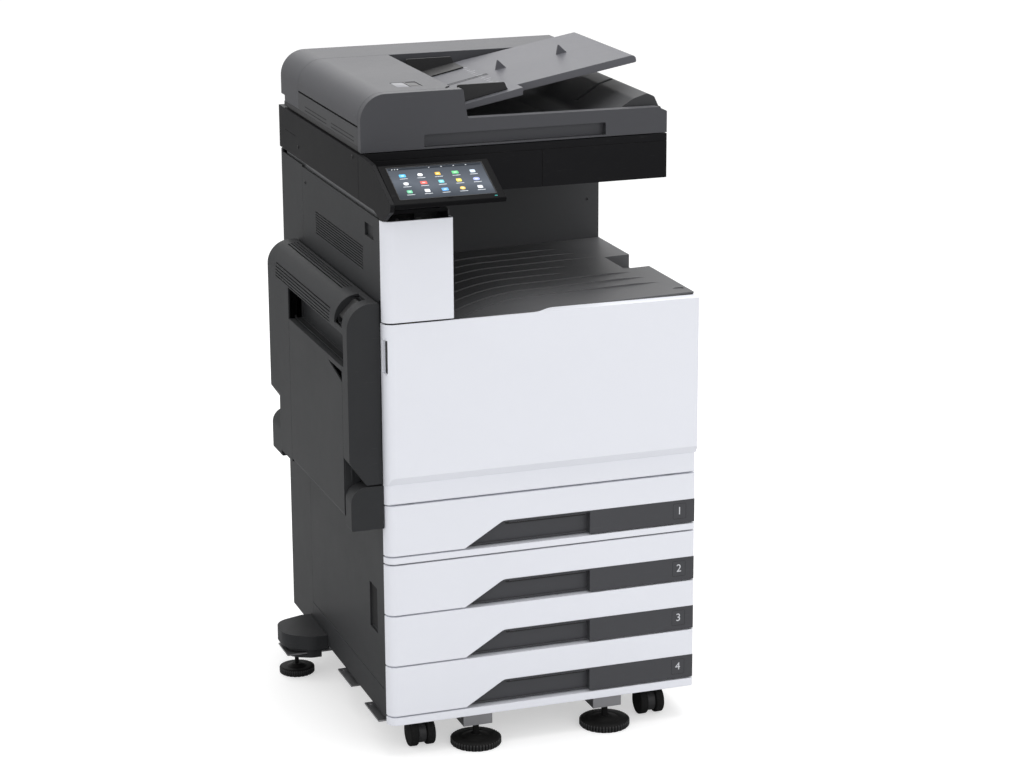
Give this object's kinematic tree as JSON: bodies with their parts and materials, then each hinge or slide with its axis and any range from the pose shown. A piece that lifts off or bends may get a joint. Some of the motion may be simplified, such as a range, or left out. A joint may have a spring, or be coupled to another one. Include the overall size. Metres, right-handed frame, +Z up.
{
  "type": "photocopier",
  "caption": "Floor-standing colour copier and printer with paper trays, front and side doors, tilting touch panel, glass scanner and lifting document feeder on casters.",
  "frame": {"origin": "centre of the bounding box at floor level", "axes": "+X to the right seen from the front, +Y to the back, +Z up"},
  "size_m": [0.681, 0.7468, 1.2331],
  "materials": {
    "front_white": "satin moulded plastic",
    "cover_grey": "fine-textured moulded plastic",
    "feeder_grey": "fine-textured moulded plastic",
    "scanner_black": "satin black plastic",
    "dark_plastic": "matte dark plastic",
    "steel": "zinc-plated sheet",
    "frame_paint": "grey zinc primer",
    "rubber_black": "matte",
    "caster_nylon": "matte nylon",
    "glass_clear": "clear float glass",
    "screen_glass": "gloss display window",
    "pad_white": "white backing sheet on foam",
    "toner_plastic": "satin",
    "board_green": "solder mask"
  },
  "bodies": {
    "cabinet": {"base_frame": "frame_paint", "front_trim": "front_white", "frame_plates": "steel", "back_plate": "steel", "tray_runners": "steel", "left_cover": "cover_grey", "right_cover": "cover_grey", "rear_cover": "cover_grey", "column_cover": "front_white", "output_bay_walls": "dark_plastic", "output_deck": "dark_plastic", "inner_cover": "cover_grey", "toner_cartridges": "toner_plastic", "imaging_units": "dark_plastic", "fuser_unit": "dark_plastic", "circuit_boards": "board_green", "power_inlet": "dark_plastic", "scanner_housing": "scanner_black", "scanner_front_panel": "scanner_black", "platen_glass": "glass_clear", "scan_rails": "steel", "panel_console": "scanner_black", "hinge_brackets": "steel", "side_housings": "cover_grey"},
    "paper_tray_1": {"tray_1_front": "front_white", "tray_1_tub": "cover_grey"},
    "paper_tray_2": {"tray_2_front": "front_white", "tray_2_tub": "cover_grey"},
    "paper_tray_3": {"tray_3_front": "front_white", "tray_3_tub": "cover_grey"},
    "paper_tray_4": {"tray_4_front": "front_white", "tray_4_tub": "cover_grey"},
    "front_door": {"front_door": "front_white"},
    "left_door": {"left_door": "cover_grey"},
    "bypass_tray": {"bypass_tray": "cover_grey"},
    "left_door_latch": {"left_door_latch": "scanner_black"},
    "document_feeder": {"adf_base": "feeder_grey", "document_pad": "pad_white", "adf_covers": "feeder_grey", "adf_feeder_frame": "dark_plastic"},
    "feeder_top_cover": {"adf_top_cover": "feeder_grey"},
    "feed_roller": {"adf_feed_roller": "rubber_black"},
    "document_tray": {"adf_input_tray": "feeder_grey"},
    "guide_front": {"adf_guide_front": "dark_plastic"},
    "guide_rear": {"adf_guide_rear": "dark_plastic"},
    "control_panel": {"control_panel": "scanner_black", "touch_screen": "screen_glass"},
    "scan_carriage": {"scan_carriage": "dark_plastic"},
    "power_button": {"power_button": "front_white"},
    "caster_front_left": {"caster_fork_front_left": "caster_nylon"},
    "wheels_front_left": {"caster_wheels_front_left": "caster_nylon"},
    "caster_front_right": {"caster_fork_front_right": "caster_nylon"},
    "wheels_front_right": {"caster_wheels_front_right": "caster_nylon"},
    "caster_rear_left": {"caster_fork_rear_left": "caster_nylon"},
    "wheels_rear_left": {"caster_wheels_rear_left": "caster_nylon"},
    "caster_rear_right": {"caster_fork_rear_right": "caster_nylon"},
    "wheels_rear_right": {"caster_wheels_rear_right": "caster_nylon"},
    "leveler_left": {"leveler_left": "rubber_black"},
    "leveler_right": {"leveler_right": "rubber_black"},
    "leveler_rear": {"leveler_rear": "rubber_black"}
  },
  "joints": [
    {"name": "tray_1_slide", "type": "slide", "parent": "cabinet", "child": "paper_tray_1", "axis": [0, -1, 0], "range_m": [0, 0.42]},
    {"name": "tray_2_slide", "type": "slide", "parent": "cabinet", "child": "paper_tray_2", "axis": [0, -1, 0], "range_m": [0, 0.42]},
    {"name": "tray_3_slide", "type": "slide", "parent": "cabinet", "child": "paper_tray_3", "axis": [0, -1, 0], "range_m": [0, 0.42]},
    {"name": "tray_4_slide", "type": "slide", "parent": "cabinet", "child": "paper_tray_4", "axis": [0, -1, 0], "range_m": [0, 0.42]},
    {"name": "front_door_hinge", "type": "hinge", "parent": "cabinet", "child": "front_door", "pos_m": [0.0405, -0.30355, 0.497], "axis": [1, 0, 0], "range_deg": [0, 78]},
    {"name": "left_door_hinge", "type": "hinge", "parent": "cabinet", "child": "left_door", "pos_m": [-0.2925, -0.01155, 0.494], "axis": [0, -1, 0], "range_deg": [0, 40]},
    {"name": "bypass_tray_hinge", "type": "hinge", "parent": "left_door", "child": "bypass_tray", "pos_m": [-0.3155, -0.08155, 0.464], "axis": [0, -1, 0], "range_deg": [0, 70]},
    {"name": "left_door_latch_pull", "type": "hinge", "parent": "left_door", "child": "left_door_latch", "pos_m": [-0.2835, -0.24355, 0.844], "axis": [0, 1, 0], "range_deg": [0, 20], "stiffness_Nm_per_rad": 0.5},
    {"name": "feeder_hinge", "type": "hinge", "parent": "cabinet", "child": "document_feeder", "pos_m": [0.0405, 0.36045, 1.112], "axis": [-1, 0, 0], "range_deg": [0, 70]},
    {"name": "feeder_top_cover_hinge", "type": "hinge", "parent": "document_feeder", "child": "feeder_top_cover", "pos_m": [-0.2465, 0.03845, 1.158], "axis": [0, -1, 0], "range_deg": [0, 60]},
    {"name": "feed_roller_spin", "type": "hinge", "parent": "document_feeder", "child": "feed_roller", "pos_m": [-0.1095, 0.03845, 1.178], "axis": [0, 1, 0], "continuous": true},
    {"name": "document_tray_hinge", "type": "hinge", "parent": "document_feeder", "child": "document_tray", "pos_m": [-0.0455, 0.05845, 1.158], "axis": [0, -1, 0], "range_deg": [0, 30]},
    {"name": "guide_front_slide", "type": "slide", "parent": "document_tray", "child": "guide_front", "axis": [0, 1, 0], "range_m": [0, 0.085]},
    {"name": "guide_rear_slide", "type": "slide", "parent": "document_tray", "child": "guide_rear", "axis": [0, 1, 0], "range_m": [-0.085, 0]},
    {"name": "control_panel_tilt", "type": "hinge", "parent": "cabinet", "child": "control_panel", "pos_m": [-0.1495, -0.3615, 1.045], "axis": [1, 0, 0], "range_deg": [0, 40]},
    {"name": "scan_carriage_slide", "type": "slide", "parent": "cabinet", "child": "scan_carriage", "axis": [1, 0, 0], "range_m": [0, 0.45]},
    {"name": "power_button_press", "type": "slide", "parent": "cabinet", "child": "power_button", "axis": [0, 1, 0], "range_m": [0, 0.0025], "stiffness_N_per_m": 400},
    {"name": "caster_swivel_front_left", "type": "hinge", "parent": "cabinet", "child": "caster_front_left", "pos_m": [-0.1875, -0.25155, 0.055], "axis": [0, 0, 1], "continuous": true},
    {"name": "caster_roll_front_left", "type": "hinge", "parent": "caster_front_left", "child": "wheels_front_left", "pos_m": [-0.1875, -0.26555, 0.025], "axis": [1, 0, 0], "continuous": true},
    {"name": "caster_swivel_front_right", "type": "hinge", "parent": "cabinet", "child": "caster_front_right", "pos_m": [0.2685, -0.25155, 0.055], "axis": [0, 0, 1], "continuous": true},
    {"name": "caster_roll_front_right", "type": "hinge", "parent": "caster_front_right", "child": "wheels_front_right", "pos_m": [0.2685, -0.26555, 0.025], "axis": [1, 0, 0], "continuous": true},
    {"name": "caster_swivel_rear_left", "type": "hinge", "parent": "cabinet", "child": "caster_rear_left", "pos_m": [-0.1875, 0.30845, 0.055], "axis": [0, 0, 1], "continuous": true},
    {"name": "caster_roll_rear_left", "type": "hinge", "parent": "caster_rear_left", "child": "wheels_rear_left", "pos_m": [-0.1875, 0.29445, 0.025], "axis": [1, 0, 0], "continuous": true},
    {"name": "caster_swivel_rear_right", "type": "hinge", "parent": "cabinet", "child": "caster_rear_right", "pos_m": [0.2685, 0.30845, 0.055], "axis": [0, 0, 1], "continuous": true},
    {"name": "caster_roll_rear_right", "type": "hinge", "parent": "caster_rear_right", "child": "wheels_rear_right", "pos_m": [0.2685, 0.29445, 0.025], "axis": [1, 0, 0], "continuous": true},
    {"name": "leveler_left_screw", "type": "slide", "parent": "cabinet", "child": "leveler_left", "axis": [0, 0, 1], "range_m": [0, 0.012]},
    {"name": "leveler_right_screw", "type": "slide", "parent": "cabinet", "child": "leveler_right", "axis": [0, 0, 1], "range_m": [0, 0.012]},
    {"name": "leveler_rear_screw", "type": "slide", "parent": "cabinet", "child": "leveler_rear", "axis": [0, 0, 1], "range_m": [0, 0.012]}
  ],
  "couplings": [
    {"joint": "guide_rear_slide", "follows": "guide_front_slide", "ratio": -1}
  ]
}
